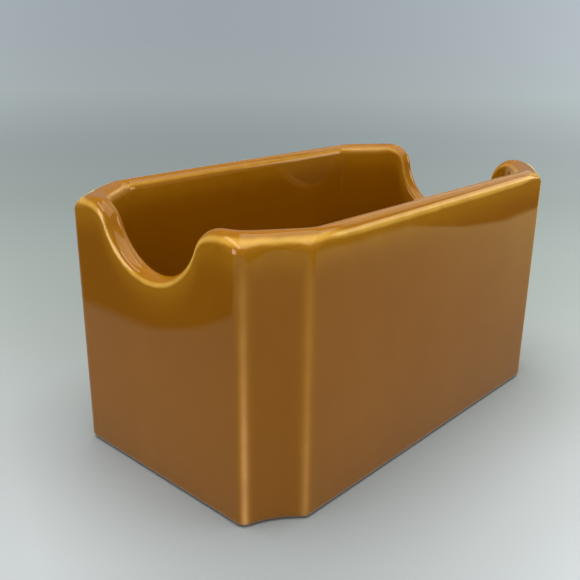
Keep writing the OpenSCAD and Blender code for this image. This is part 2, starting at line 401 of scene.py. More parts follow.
# %% [markdown]
# ## Sections over the wall
#
# A section is the path from the foot over the rim to the floor, and it is the same curve
# in every column: a rounded base edge, the wall, half an ellipse over the rim, the inner
# wall, and a fillet into the floor. Each function takes a whole row of steps and returns
# a block of points, steps by columns. The depth under the glazed surface is 0 for the
# glaze and its own thickness for the clay behind it, so that the two always fit.

# %% Section pieces
GLAZE = 0.4 * MM
BASE_RADIUS = 1.2 * MM
GLAZE_LINE = math.radians(30)
RIDGE_DROP = 0.7 * MM
RIDGE_SPREAD = 3.0 * MM


def lifted(plan, height):
    """Plan points with a height as their third number."""
    shape = np.broadcast_shapes(plan.shape[:-1], np.shape(height))
    flat = np.broadcast_to(plan, (*shape, 2))
    return np.concatenate([flat, np.broadcast_to(height, shape)[..., None]], axis=-1)


def base_edge(angles, under):
    """The rounded edge of the base: a quarter round about a point a base radius inside
    the wall and a base radius above the table, drawn in by the depth under the glaze."""
    radius = BASE_RADIUS - under
    inset = (BASE_RADIUS - radius * np.sin(angles))[:, None, None]
    plan = ring["outer"] - ring["outer_normal"] * inset
    return lifted(plan, (BASE_RADIUS - radius * np.cos(angles))[:, None])


def rim_round(angles, under):
    """The rounding of the rim: a quarter of an ellipse from the outer face to the crest
    and another from the crest to the inner face. Each point is the crest line, plus the
    way to the face times the cosine, plus the rise times the sine, square to the lean.
    On the outside it starts lower at a ridge, because three roundings meet there."""
    lines = {}
    for key in ("outer", "crest", "inner"):
        lines[key] = lifted(ring[key], rim_line(np.abs(ring[key][:, 1]), ring["depth"])[0])
    lines["outer"][:, 2] -= RIDGE_DROP * near_ridges(RIDGE_TOP, RIDGE_SPREAD)
    crest = lines["crest"]
    _, lean, rise = rim_line(np.abs(crest[:, 1]), ring["depth"])
    up = np.stack([0 * lean, -np.sign(crest[:, 1]) * np.sin(lean), np.cos(lean)], axis=-1)
    cosine, sine = np.cos(angles)[:, None, None], np.sin(angles)[:, None, None]
    way = np.where(cosine > 0, lines["outer"] - crest, lines["inner"] - crest)
    length = np.linalg.norm(way, axis=-1, keepdims=True)
    side = way / length * (length - under) * np.abs(cosine)
    return crest + side + up * (rise[:, None] - under) * sine


def floor_fillet(angles, under):
    """A quarter round from the inner wall to the floor: the floor's outline plus the way
    to the wall times the cosine, sinking from the wall by the radius times the sine."""
    cosine, sine = np.cos(angles)[:, None, None], np.sin(angles)[:, None]
    plan = ring["floor"] + (ring["inner"] - ring["floor"] + ring["inner_normal"] * under) * cosine
    return lifted(plan, FLOOR_HEIGHT + FLOOR_RADIUS - (FLOOR_RADIUS + under) * sine)


def between(first, last, count):
    """Straight rows of points between two rings, at shares that are closer together near
    both."""
    share = eased(count)[:, None, None]
    return first + (last - first) * share


def to_middle(ring_points, count):
    """Rows of points from a ring towards the middle of the box, without both: the ring's
    plan times shares that fall evenly from 1 to 0, at the ring's height."""
    share = 1 - np.linspace(0, 1, count + 2)[1:-1, None, None]
    return ring_points * np.array([1, 1, 0]) * share + ring_points * np.array([0, 0, 1])


print("section pieces: base edge, wall, rim, inner wall, fillet, floor")

# %% [markdown]
# ## From a grid to a mesh
#
# A skin is a stack of closed rings with one point at each end of the stack. This helper
# turns such a grid into faces with index arithmetic on whole arrays: each square between
# two rings and two columns is one face, and a fan closes each end. The order of the
# corners makes every face look outwards.

# %% Mesh from rings
def ring_mesh(name, rings, first_pole, last_pole):
    """A closed mesh from rings that follow each other, (rings, columns, 3), and the two
    points that close its ends."""
    stack, count = rings.shape[:2]
    lower = np.arange((stack - 1) * count).reshape(stack - 1, count)
    after = np.roll(lower, -1, axis=1)
    squares = np.stack([lower, after, after + count, lower + count], axis=-1).reshape(-1, 4)
    first, last = stack * count, stack * count + 1
    start = np.arange(count)
    end = start + (stack - 1) * count
    fan_1 = np.stack([np.roll(start, -1), start, np.full(count, first)], axis=-1)
    fan_2 = np.stack([end, np.roll(end, -1), np.full(count, last)], axis=-1)
    points = np.vstack([rings.reshape(-1, 3), [first_pole], [last_pole]])
    corners = np.concatenate([squares.ravel(), fan_1.ravel(), fan_2.ravel()])
    sizes = np.concatenate([np.full(len(squares), 4), np.full(2 * count, 3)])
    mesh = bpy.data.meshes.new(name)
    mesh.vertices.add(len(points))
    mesh.vertices.foreach_set("co", points.astype(np.float32).ravel())
    mesh.loops.add(len(corners))
    mesh.loops.foreach_set("vertex_index", corners.astype(np.int32))
    mesh.polygons.add(len(sizes))
    mesh.polygons.foreach_set("loop_start", (np.cumsum(sizes) - sizes).astype(np.int32))
    mesh.polygons.foreach_set("use_smooth", np.ones(len(sizes), bool))
    mesh.update(calc_edges=True)
    mesh.validate()
    piece = bpy.data.objects.new(name, mesh)
    scene.collection.objects.link(piece)
    print(name, "has", len(mesh.polygons), "faces,", len(mesh.vertices), "points")
    return piece


def store(piece, name, values, first_ring, at_end=0.0):
    """Keeps one number for each point of a mesh, for its material to read: the values from
    the first ring on, one for the point that closes its end, and 0 elsewhere."""
    kept = np.zeros(len(piece.data.vertices), np.float32)
    start = first_ring * values.shape[1]
    kept[start:start + values.size] = values.ravel()
    kept[-1] = at_end
    attribute = piece.data.attributes.new(name, "FLOAT", "POINT")
    attribute.data.foreach_set("value", kept)


# %% [markdown]
# ## The uneven surface
#
# A dipped glaze is never as flat as a moulded plastic: it sags and gathers, and the box
# itself warps a little as it fires. These waves are a few hundredths of a millimetre
# high, far too small to see as shape, but the reflections bend with them. Adding a few
# sine waves that run in different directions gives a smooth field with no visible
# repeat. The waves only ever press inwards, so the box doesn't grow.

# %% Waves in the surface
WAVE_HEIGHT = 0.035 * MM
WAVE_COUNT = 14
WAVE_SHORTEST = 14 * MM
WAVE_LONGEST = 45 * MM
WAVE_SEED = 3


def waves(points):
    """Half, plus the mean of sine waves with random directions, lengths and starts, kept
    between 0 and 1."""
    random = np.random.default_rng(WAVE_SEED)
    direction = random.normal(size=(WAVE_COUNT, 3))
    direction /= np.linalg.norm(direction, axis=1, keepdims=True)
    length = random.uniform(WAVE_SHORTEST, WAVE_LONGEST, WAVE_COUNT)
    start = random.uniform(0, 2 * math.pi, WAVE_COUNT)
    phase = points @ (direction / length[:, None] * 2 * math.pi).T + start
    return np.clip(0.5 + np.sin(phase).sum(-1) / WAVE_COUNT, 0, 1)


def normals_of(rings):
    """Outward normals of a grid of rings: the cross product of the step round the box
    and the step over the wall."""
    around = np.roll(rings, -1, axis=1) - np.roll(rings, 1, axis=1)
    over = np.gradient(rings, axis=0)
    normal = np.cross(around, over)
    return normal / np.linalg.norm(normal, axis=-1, keepdims=True)


print(WAVE_COUNT, "waves,", WAVE_SHORTEST / MM, "to", WAVE_LONGEST / MM, "mm long")

# %% [markdown]
# ## How thick the glaze lies, and the light painted on it
#
# Molten glaze draws back from sharp edges and gathers in hollows. Where it is thin the
# pale clay shows through as a golden tan, and where it is thick it is a deep brown. One
# number for each point says how thin it is: about 1 on the outer edge of the rim, less on
# its inner edge, its top and the walls just below it, and further down the inside ever
# lower, because there the glaze pools towards the floor. It carries painted light too:
# the gold bands on the edges of the rim are partly painted highlights, and the darkening
# down the inside is partly painted shade. A second number says how pale the clay shows
# through the ridges of the corners, which grows towards the foot; that paleness is partly
# a painted highlight. Both are kept in the mesh, and the material turns them into colour.

# %% Thin and thick glaze, painted highlights and painted shade
RIDGE_LINE = 0.7
# Pale ridges at the corners: partly clay showing through thin glaze, partly a painted highlight.
PALE_WIDTH = 0.55 * MM
PALE_AT_TOP = -0.05
PALE_AT_FOOT = 1.15
PALE_ON_SIDE = 0.38
RIDGE_WIDTH = 1.1 * MM
RIDGE_THIN_AND_HIGHLIGHT = 0.36
# Gold on the rim's outer and inner edges: partly thin glaze, partly painted highlights.
OUTER_EDGE_THIN_AND_HIGHLIGHT = 1.15
INNER_EDGE_THIN_AND_HIGHLIGHT = 0.8
OUTER_RIM_EDGE = math.radians(17)
CORNER_RIM_EDGE = math.radians(44)
CORNER_SPREAD = 6.0 * MM
OUTER_EDGE_WIDTH = math.radians(20)
INNER_RIM_EDGE = math.radians(145)
INNER_EDGE_WIDTH = math.radians(15)
RIM_TOP_THIN = 0.22
BELOW_RIM = 3.0 * MM
BELOW_RIM_THIN = 0.42
BELOW_INSIDE_THIN = 0.5
# Inside, darker from the top down to the floor: partly pooled glaze, partly painted shade.
TOP_INSIDE = 0.22
FLOOR_POOL_AND_SHADE = -0.95


def outside_thinness_and_highlight(height, rim_height):
    """On the outer wall: a hill just below the rim, and the ridges, whose pale line is partly
    a painted highlight.
    """
    return np.maximum(ridges * RIDGE_THIN_AND_HIGHLIGHT, BELOW_RIM_THIN * bump(rim_height - height, BELOW_RIM))


def inside_thinness_and_shade(height, rim_height):
    """On the inner wall: a hill just below the rim, and a level that sinks evenly from the
    top of the box down, which makes the inside darker towards the floor: partly glaze that
    pools there, partly painted shade."""
    height_gradient = TOP_INSIDE + (FLOOR_POOL_AND_SHADE - TOP_INSIDE) * (1 - height / BOX_HEIGHT)
    return np.maximum(BELOW_INSIDE_THIN * bump(rim_height - height, BELOW_RIM), height_gradient)


def rim_thinness_and_highlight(angles):
    """Over the rim, from the outer face to the inner one: a hill on the outer edge, which
    lies further up at the corners, another on the inner edge, and under both a level that
    sinks from what it is below the rim to the top's by the sine. The two hills are partly
    thin glaze and partly painted highlights."""
    corners = near_ridges(RIDGE_TOP, CORNER_SPREAD)
    edge = OUTER_RIM_EDGE + (CORNER_RIM_EDGE - OUTER_RIM_EDGE) * corners
    outer_edge = OUTER_EDGE_THIN_AND_HIGHLIGHT * bump(angles - edge, OUTER_EDGE_WIDTH)
    inner_edge = INNER_EDGE_THIN_AND_HIGHLIGHT * bump(angles - INNER_RIM_EDGE, INNER_EDGE_WIDTH)
    below = BELOW_RIM_THIN + (BELOW_INSIDE_THIN - BELOW_RIM_THIN) * angles / math.pi
    level = below + (RIM_TOP_THIN - below) * np.sin(angles)
    return np.maximum(np.maximum(outer_edge, inner_edge), level)


def ridge_pale_and_highlight(height):
    """How pale the glaze is on the ridges, at some heights, partly thin glaze and partly a
    painted highlight: paler towards the foot, and less pale on the long walls' side."""
    height_gradient = PALE_AT_TOP + (PALE_AT_FOOT - PALE_AT_TOP) * (1 - height / BOX_HEIGHT)
    end_side = near_ridges(RIDGE_LINE, PALE_WIDTH, (0,))
    long_side = near_ridges(RIDGE_LINE, PALE_WIDTH, (1,))
    return np.maximum(end_side, PALE_ON_SIDE * long_side) * height_gradient


ridges = near_ridges(RIDGE_LINE, RIDGE_WIDTH)
print("columns on a ridge:", int((ridges > 0.5).sum()))

# %% [markdown]
# ## The glaze coat
#
# The coat is one closed skin: over the clay from the middle of the floor, up the inside,
# over the rim and down to the line above the foot where the glaze was wiped off, and back
# the same way along its glossy surface. At that line it ends in a rounded bead, because
# molten glaze doesn't keep a square edge. The hidden side takes half as many steps, and
# only two over the floor.

# %% Glaze coat
BEAD_STEPS = 7
BASE_STEPS = 8
WALL_STEPS = 24
RIM_STEPS = 36
INNER_STEPS = 24
FILLET_STEPS = 14
FLOOR_STEPS = 10
HIDDEN_FLOOR_STEPS = 2
BEAD_TURN = math.radians(24)


def clay_side():
    """The hidden side, from the middle of the floor out to the glaze line."""
    fillet = floor_fillet(np.linspace(math.pi / 2, 0, FILLET_STEPS // 2 + 1), GLAZE)
    rim = rim_round(np.linspace(math.pi, 0, RIM_STEPS // 2 + 1), GLAZE)
    edge = base_edge(np.linspace(math.pi / 2, GLAZE_LINE, BASE_STEPS // 2 + 1), GLAZE)
    floor = to_middle(fillet[0], HIDDEN_FLOOR_STEPS)[::-1]
    return np.concatenate([floor, fillet, rim, edge])


def glossy_side():
    """The glossy side from the bead to the middle of the floor, how thin the glaze is at
    each of its points, with painted highlights and painted shade in that number, and how
    pale at those of the outside, partly a painted highlight. The bead is a quarter round:
    its depth under the surface is the glaze's, less the height of a circle of that radius."""
    share = np.linspace(0, 1, BEAD_STEPS + 1)[1:]
    bead_under = GLAZE * (1 - np.sqrt(1 - (1 - share) ** 2))
    bead = base_edge(GLAZE_LINE + BEAD_TURN * share, bead_under)
    base = base_edge(np.linspace(GLAZE_LINE + BEAD_TURN, math.pi / 2, BASE_STEPS + 1)[1:], 0)
    rim_angles = np.linspace(0, math.pi, RIM_STEPS + 1)
    rim = rim_round(rim_angles, 0)
    fillet = floor_fillet(np.linspace(0, math.pi / 2, FILLET_STEPS + 1), 0)
    outside = np.concatenate([bead, base, between(base[-1], rim[0], WALL_STEPS)])
    inner_wall = between(rim[-1], fillet[0], INNER_STEPS)
    floor = np.concatenate([fillet, to_middle(fillet[-1], FLOOR_STEPS)])
    thin_and_painted_light = [
        outside_thinness_and_highlight(outside[..., 2], rim[0, :, 2]),
        rim_thinness_and_highlight(rim_angles[:, None]),
        inside_thinness_and_shade(inner_wall[..., 2], rim[-1, :, 2]),
        np.full(floor.shape[:2], FLOOR_POOL_AND_SHADE),
    ]
    points = np.concatenate([outside, rim, inner_wall, floor])
    return points, np.concatenate(thin_and_painted_light), ridge_pale_and_highlight(outside[..., 2])


hidden = clay_side()
glossy, thin_and_painted_light, pale_and_highlight = glossy_side()
dent = waves(glossy) * WAVE_HEIGHT
dent[:BEAD_STEPS] = 0  # the bead stays on the clay
glossy -= normals_of(glossy) * dent[..., None]
coat = ring_mesh(
    "glaze_skin",
    np.concatenate([hidden, glossy]),
    [0, 0, FLOOR_HEIGHT - GLAZE],
    [0, 0, FLOOR_HEIGHT],
)
# The kept thinness holds painted highlights on the rim's edges and painted shade inside as well.
store(coat, "thin_and_painted_light", thin_and_painted_light, len(hidden), FLOOR_POOL_AND_SHADE)
store(coat, "pale_and_highlight", pale_and_highlight, len(hidden))
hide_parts("glaze_coat")
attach(coat, "root")
print("thinness of the coat from", round(thin_and_painted_light.min(), 2), "to", round(thin_and_painted_light.max(), 2))

# %% [markdown]
# ## The glaze under the base
#
# The underside is glazed inside its recess, while the foot round it stays bare so that
# the box doesn't stick to the kiln shelf. The film is level across the recess and climbs
# its wall a little, as any liquid does. Its section is a short path: along the clay
# ceiling, down the recess wall, round a meniscus and back across the open surface.

# %% Base glaze
FOOT_WIDTH = 3.6 * MM
RECESS_DEPTH = 1.2 * MM
MENISCUS = 0.55 * MM
MENISCUS_STEPS = 10
BASE_RINGS = 8
CEILING_RINGS = 2


def recess_ring(inset, height):
    """The edge of the recess drawn in by some distance, at some height."""
    drawn = BASE_RADIUS + FOOT_WIDTH - WALL + inset
    return lifted(ring["inner"] - ring["inner_normal"] * drawn, height)


def base_film():
    """Rings from the middle of the open surface out, down a quarter round to the recess
    wall, up the wall and back along the ceiling. The round is a circle's arc whose centre
    lies below the surface and inside the wall by its radius."""
    turn = np.linspace(math.pi / 2, 0, MENISCUS_STEPS + 1)
    level = RECESS_DEPTH - GLAZE
    insets = MENISCUS * (1 - np.cos(turn))
    heights = level - MENISCUS * (1 - np.sin(turn))
    round_rings = np.stack([recess_ring(i, h) for i, h in zip(insets, heights)])
    surface = to_middle(round_rings[0], BASE_RINGS)[::-1]
    ceiling = recess_ring(0, RECESS_DEPTH)
    hidden = to_middle(ceiling, CEILING_RINGS)
    return np.concatenate([surface, round_rings, ceiling[None], hidden])


film_rings = base_film()
film = ring_mesh(
    "base_film",
    film_rings,
    [0, 0, RECESS_DEPTH - GLAZE],
    [0, 0, RECESS_DEPTH],
)
for name in ("thin_and_painted_light", "pale_and_highlight"):
    store(film, name, 0 * film_rings[..., 0], 0)
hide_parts("base_glaze")
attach(film, "root")

# %% [markdown]
# ## Nodes for the materials
#
# A material is a small network of nodes. A few helpers keep the cells that follow short:
# one starts a material, one adds a node with its settings, and the others add the nodes
# that are needed again and again, each with its output's socket as the result.

# %% Node helpers
def new_material(name):
    """A material with an empty network, its tree, and the output's surface socket."""
    material = bpy.data.materials.new(name)
    material.use_nodes = True
    tree = material.node_tree
    tree.nodes.clear()
    output = tree.nodes.new("ShaderNodeOutputMaterial")
    return material, tree, output.inputs["Surface"]


def add(tree, kind, settings=None, **inputs):
    """A new node. Settings are its properties, and inputs are numbers or the sockets of
    other nodes, under their names with spaces written as underscores, or as i0, i1 and so
    on where a node has several inputs of the same name."""
    item = tree.nodes.new("ShaderNode" + kind)
    for key, value in (settings or {}).items():
        setattr(item, key, value)
    for key, value in inputs.items():
        numbered = key[0] == "i" and key[1:].isdigit()
        socket = item.inputs[int(key[1:]) if numbered else key.replace("_", " ")]
        if isinstance(value, bpy.types.NodeSocket):
            tree.links.new(value, socket)
        else:
            socket.default_value = value
    return item


def ramp(tree, factor, stops):
    """A colour ramp from (place, colour) pairs."""
    item = add(tree, "ValToRGB", i0=factor)
    elements = item.color_ramp.elements
    while len(elements) < len(stops):
        elements.new(0.5)  # at any place, since the next loop moves them all
    for element, (place, colour) in zip(elements, stops):
        element.position = place
        element.color = (*colour, 1)
    return item.outputs["Color"]


def maths(tree, operation, first, second=0.0, third=0.0):
    """One step of arithmetic. MULTIPLY_ADD gives the first times the second, plus the
    third."""
    item = add(tree, "Math", {"operation": operation}, i0=first, i1=second, i2=third)
    return item.outputs[0]


def noise(tree, place, scale, detail, roughness=0.5):
    """A cloudy noise from 0 to 1: how many of its clouds fit in a metre, how many finer
    layers lie on them, and how strong each layer is next to the one before."""
    item = add(tree, "TexNoise", Vector=place, Scale=scale, Detail=detail, Roughness=roughness)
    return item.outputs["Fac"]


def kept_number(tree, name):
    """The number that the mesh keeps for each of its points."""
    return add(tree, "Attribute", {"attribute_name": name}).outputs["Fac"]


def mixed(tree, share, first, second):
    """The first colour where the share is 0, and the second, three numbers, where it is 1."""
    return add(tree, "MixRGB", Fac=share, Color1=first, Color2=(*second, 1)).outputs[0]


def times(tree, colour, factor):
    """A colour with each of its three numbers multiplied by a factor."""
    item = add(tree, "VectorMath", {"operation": "SCALE"}, i0=colour, Scale=factor)
    return item.outputs[0]


def relief_of(tree, height, strength, distance):
    """Bumps that shade like a real relief: the height, from 0 to 1, times a distance."""
    item = add(tree, "Bump", Strength=strength, Distance=distance, Height=height)
    return item.outputs["Normal"]


print("node helpers ready")

# %% [markdown]
# ## The amber glaze
#
# The glaze is coloured glass over pale clay. Tracing light through real coloured glass is
# slow and noisy, and here only its result matters: colour by thickness, under a clear
# glossy top. So a ramp gives the colour from thick brown over amber to thin gold, read
# from the first number kept in the mesh, and the second mixes in the pale ridges. Both
# numbers also carry painted light: the gold on the rim's edges and the pale ridges are
# partly painted highlights, and the darker deep inside is partly painted shade. Noise
# moves the ramp a little, because glaze flows in soft clouds and its thin lines waver. A
# clear coat on the shader gives the sharp reflections, and a very fine bump gives them
# the slight ripple of a fired surface. The coat alone reflects: the body under it has no
# gloss of its own.

# %% Amber glaze
# Deep brown of thick glaze, which is also painted shade deep inside the box.
THICK_AMBER_AND_SHADE = (0.11, 0.03, 0.0005)
EVEN_AMBER = (0.356, 0.119, 0.001)
THIN_AMBER = (0.50, 0.2, 0.006)
# Gold of the rim's edges: partly thin glaze, partly a painted highlight.
EDGE_GOLD_AND_HIGHLIGHT = (0.84, 0.445, 0.06)
# Colour of the pale ridges, partly a painted highlight.
RIDGE_PALE_AND_HIGHLIGHT = (0.95, 0.45, 0.13)
EVEN_AT = 0.35
GLAZE_TONES = [(0.0, THICK_AMBER_AND_SHADE), (EVEN_AT, EVEN_AMBER), (0.62, THIN_AMBER), (0.95, EDGE_GOLD_AND_HIGHLIGHT)]
THINNESS_SPAN = 0.6
# Noises: clouds in a metre, finer layers and their strength
CLOUDS = (55.0, 3.0)
CLOUD_SHIFT = 0.16
STREAKS = (170.0, 2.0)
STREAK_STRETCH = (1.0, 1.0, 0.25)
STREAK_SHIFT = 0.08
WAVER = (240.0, 4.0, 0.6)
WAVER_LEAST = 0.55
WAVER_SPAN = 0.7
RIPPLE = (260.0, 2.0)
RIPPLE_HEIGHT = 0.004 * MM
BODY_ROUGHNESS = 0.35
GLASS_ROUGHNESS = 0.03
GLASS_IOR = 1.5


def amber_glaze():
    """The thinness, with its painted highlights and painted shade, times a wavering number,
    moved a little by clouds and by streaks that run up and down, is the place on the ramp
    of tones. The paleness of the ridges, partly a painted highlight, wavers alike and mixes
    in their colour. A glassy coat lies over it."""
    material, tree, surface = new_material("amber_glaze")
    place = add(tree, "TexCoord").outputs["Object"]
    streaked = add(tree, "Mapping", Vector=place, Scale=STREAK_STRETCH).outputs["Vector"]
    clouds = noise(tree, place, *CLOUDS)
    streaks = noise(tree, streaked, *STREAKS)
    wavering = maths(tree, "MULTIPLY_ADD", noise(tree, place, *WAVER), WAVER_SPAN, WAVER_LEAST)
    # Thinness read from the mesh, which also carries painted highlights and painted shade.
    thin_and_light_level = maths(tree, "MULTIPLY", kept_number(tree, "thin_and_painted_light"), wavering)
    cloud_shift = maths(tree, "MULTIPLY_ADD", clouds, CLOUD_SHIFT, -CLOUD_SHIFT / 2)
    streak_shift = maths(tree, "MULTIPLY_ADD", streaks, STREAK_SHIFT, -STREAK_SHIFT / 2)
    shifted = maths(tree, "ADD", maths(tree, "ADD", thin_and_light_level, cloud_shift), streak_shift)
    tone = ramp(tree, maths(tree, "MULTIPLY_ADD", shifted, THINNESS_SPAN, EVEN_AT), GLAZE_TONES)
    ridge_pale_and_highlight = maths(tree, "MULTIPLY", kept_number(tree, "pale_and_highlight"), wavering)
    colour = mixed(tree, add(tree, "Clamp", Value=ridge_pale_and_highlight).outputs[0], tone, RIDGE_PALE_AND_HIGHLIGHT)
    relief = relief_of(tree, noise(tree, place, *RIPPLE), 1.0, RIPPLE_HEIGHT)
    shader = add(
        tree,
        "BsdfPrincipled",
        Base_Color=colour,
        Roughness=BODY_ROUGHNESS,
        IOR=GLASS_IOR,
        Specular_IOR_Level=0.0,
        Coat_Weight=1.0,
        Coat_Roughness=GLASS_ROUGHNESS,
        Coat_IOR=GLASS_IOR,
        Normal=relief,
        Coat_Normal=relief,
    )
    tree.links.new(shader.outputs[0], surface)
    return material


glaze_material = amber_glaze()
for piece in (coat, film):
    piece.data.materials.append(glaze_material)
    print(piece.name, "is glazed, with", len(glaze_material.node_tree.nodes), "nodes")

# %% [markdown]
# ## The bare clay
#
# Only the ring of the foot is bare. Fired earthenware is dry, pale and slightly gritty,
# with fine dark specks, and the ring is rubbed grey where it has slid over tables. The
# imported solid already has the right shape, so it stays, and only gets this finish.

# %% Bare clay
CLAY_PALE = (0.60, 0.49, 0.36)
CLAY_DEEP = (0.42, 0.32, 0.22)
CLAY_SPECK = (0.16, 0.11, 0.07)
RUBBED_GREY = (0.34, 0.32, 0.29)
CLAY_CLOUDS = (120.0, 6.0, 0.65)
CLAY_TONES = [(0.3, CLAY_DEEP), (0.7, CLAY_PALE)]
GRIT = (2400.0, 2.0)
GRIT_SPECKS = [(0.66, (0, 0, 0)), (0.74, (1, 1, 1))]
GRIT_STRENGTH = 0.6
GRIT_HEIGHT = 0.03 * MM
RUBBED = (70.0, 3.0)
RUBBED_PATCHES = [(0.5, (0, 0, 0)), (0.72, (0.6, 0.6, 0.6))]
CLAY_ROUGHNESS = 0.85


def bare_clay():
    """One noise mixes the clay's two tones, a fine one adds specks and grit where it is
    high, and a coarse one adds the rubbed patches."""
    material, tree, surface = new_material("bare_clay")
    place = add(tree, "TexCoord").outputs["Object"]
    grit = noise(tree, place, *GRIT)
    tone = ramp(tree, noise(tree, place, *CLAY_CLOUDS), CLAY_TONES)
    speckled = mixed(tree, ramp(tree, grit, GRIT_SPECKS), tone, CLAY_SPECK)
    wear = ramp(tree, noise(tree, place, *RUBBED), RUBBED_PATCHES)
    colour = mixed(tree, wear, speckled, RUBBED_GREY)
    relief = relief_of(tree, grit, GRIT_STRENGTH, GRIT_HEIGHT)
    shader = add(tree, "BsdfPrincipled", Base_Color=colour, Roughness=CLAY_ROUGHNESS, Normal=relief)
    tree.links.new(shader.outputs[0], surface)
    return material


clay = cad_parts["clay_body"]
clay.material_slots[0].material = bare_clay()
print(clay.name, "keeps its packed mesh of", len(clay.data.polygons), "faces")

# %% [markdown]
# ## The table
#
# The box stands on a plain pale table that fades away without a visible edge. It is a
# disc whose rings grow with their distance. Its tone follows the distance on the ground
# along the line of sight, and it is a little brighter to both sides: that is painted
# light, the fall of the light over the table painted into its tone. Near the box it is a
# matt surface that takes shadows, and further away it glows with the same tone. A glossy
# box mirrors its surroundings, and the edge of the lit table is the line that crosses
# both its walls. So to glossy rays the table is a painted reflection: it glows plain,
# and dark past a line in front of the box and on a patch with a rounded corner at its left.

# %% Table
TABLE_RADIUS = 4.0
TABLE_FIRST_RING = 10 * MM
TABLE_RINGS = 60
TABLE_COLUMNS = 96


def table_disc():
    """Rings whose radius grows by an even factor from the first to the disc's edge."""
    radius = np.geomspace(TABLE_FIRST_RING, TABLE_RADIUS, TABLE_RINGS)[:, None]
    plan = radius[..., None] * unit(np.linspace(0, 2 * math.pi, TABLE_COLUMNS + 1)[:-1])[None]
    points = np.vstack([lifted(plan, 0.0).reshape(-1, 3), [[0, 0, 0]]])
    lower = np.arange((TABLE_RINGS - 1) * TABLE_COLUMNS).reshape(-1, TABLE_COLUMNS)
    after = np.roll(lower, -1, axis=1)
    squares = np.stack([lower, lower + TABLE_COLUMNS, after + TABLE_COLUMNS, after], axis=-1)
    first = np.arange(TABLE_COLUMNS)
    fan = np.stack([first, np.roll(first, -1), np.full(TABLE_COLUMNS, len(points) - 1)], axis=-1)
    mesh = bpy.data.meshes.new("table")
    mesh.from_pydata(points.tolist(), [], squares.reshape(-1, 4).tolist() + fan.tolist())
    table = bpy.data.objects.new("table", mesh)
    scene.collection.objects.link(table)
    table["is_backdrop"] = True
    return table


table = table_disc()
print("table faces:", len(table.data.polygons))

# %% Table colour
# Painted light: how brightly the table is lit along the line of sight, held in its tones.
TABLE_TONES = [
    (0.0, (0.416, 0.443, 0.444)),
    (0.15, (0.376, 0.401, 0.399)),
    (0.38, (0.295, 0.325, 0.303)),
    (0.57, (0.257, 0.291, 0.279)),
    (0.66, (0.274, 0.309, 0.308)),
    (0.82, (0.350, 0.396, 0.405)),
    (1.0, (0.342, 0.385, 0.414)),
]
TONE_START = -0.06
TONE_HALF_WAY = 0.2
LIGHT_ON_TABLE = 0.93
NEAREST_REACH = 70 * MM
# Painted light: the table and the background are brighter to both sides.
SIDE_TILT = 0.35
SIDE_LIFT = 1.6
STEEPEST_SIDE = 0.5
MATT_WITHIN = 0.14
GLOW_BEYOND = 0.45
# Painted reflections: what the table shows to glossy rays, a pale glow, yellower to the right, with dark
# patches.
MIRRORED_NEAR = (0.34, 0.36, 0.32)
MIRRORED_RIGHT = (0.90, 0.80, 0.38)
MIRRORED_DARK = (0.06, 0.05, 0.05)
MIRRORED_FROM = 60 * MM
MIRRORED_TO = 220 * MM
EDGE_BLUR = 2.5 * MM
EDGE_STEP_X = (142 * MM, 166 * MM)
EDGE_STEP_Y = -129.5 * MM
EDGE_STEP_BY = 23.5 * MM
EDGE_SLOPE = 0.3
EDGE_AT_ZERO = -160 * MM
DARK_PATCH_SIDES = (-91 * MM, 50 * MM)
DARK_PATCH_ROUND = 14 * MM
GROUND_ALONG = np.array([-camera_back[0], -camera_back[1], 0.0]) / math.hypot(*camera_back[:2])
GROUND_RIGHT = np.array([GROUND_ALONG[1], -GROUND_ALONG[0], 0.0])


def along(tree, place, direction):
    """How far a place lies along a direction of length one: their dot product."""
    item = add(tree, "VectorMath", {"operation": "DOT_PRODUCT"}, i0=place, i1=tuple(direction))
    return item.outputs["Value"]


def steep(tree, value, start, end):
    """0 before the start and 1 past the end, in a straight line between them."""
    return add(tree, "MapRange", Value=value, From_Min=start, From_Max=end).outputs[0]


def side_factor(tree, slope):
    """One, plus the tilt times the slope, plus the lift times the slope squared, with the
    slope how far a place lies to the right for each metre ahead."""
    slope = add(tree, "Clamp", Value=slope, Min=-STEEPEST_SIDE, Max=STEEPEST_SIDE).outputs[0]
    lift = maths(tree, "ADD", maths(tree, "MULTIPLY", slope, SIDE_LIFT), SIDE_TILT)
    return maths(tree, "ADD", maths(tree, "MULTIPLY", slope, lift), 1.0)


def seen_tone(tree, place):
    """The table's tone, with the fall of the light painted in: a ramp over the distance
    ahead of the tone's start, or behind it, as a share of itself plus the half way, times
    the factor for places to the side."""
    ahead = along(tree, place, GROUND_ALONG)
    past = maths(tree, "ABSOLUTE", maths(tree, "SUBTRACT", ahead, TONE_START))
    share = maths(tree, "DIVIDE", past, maths(tree, "ADD", past, TONE_HALF_WAY))
    tone = ramp(tree, share, TABLE_TONES)
    reach = maths(tree, "SUBTRACT", ahead, float(GROUND_ALONG @ CAMERA_PLACE))
    reach = maths(tree, "MAXIMUM", maths(tree, "ABSOLUTE", reach), NEAREST_REACH)
    slope = maths(tree, "DIVIDE", along(tree, place, GROUND_RIGHT), reach)
    return times(tree, tone, side_factor(tree, slope))


def length_of(tree, vector):
    """The root of the sum of a vector's three squares."""
    item = add(tree, "VectorMath", {"operation": "LENGTH"}, i0=vector)
    return item.outputs["Value"]


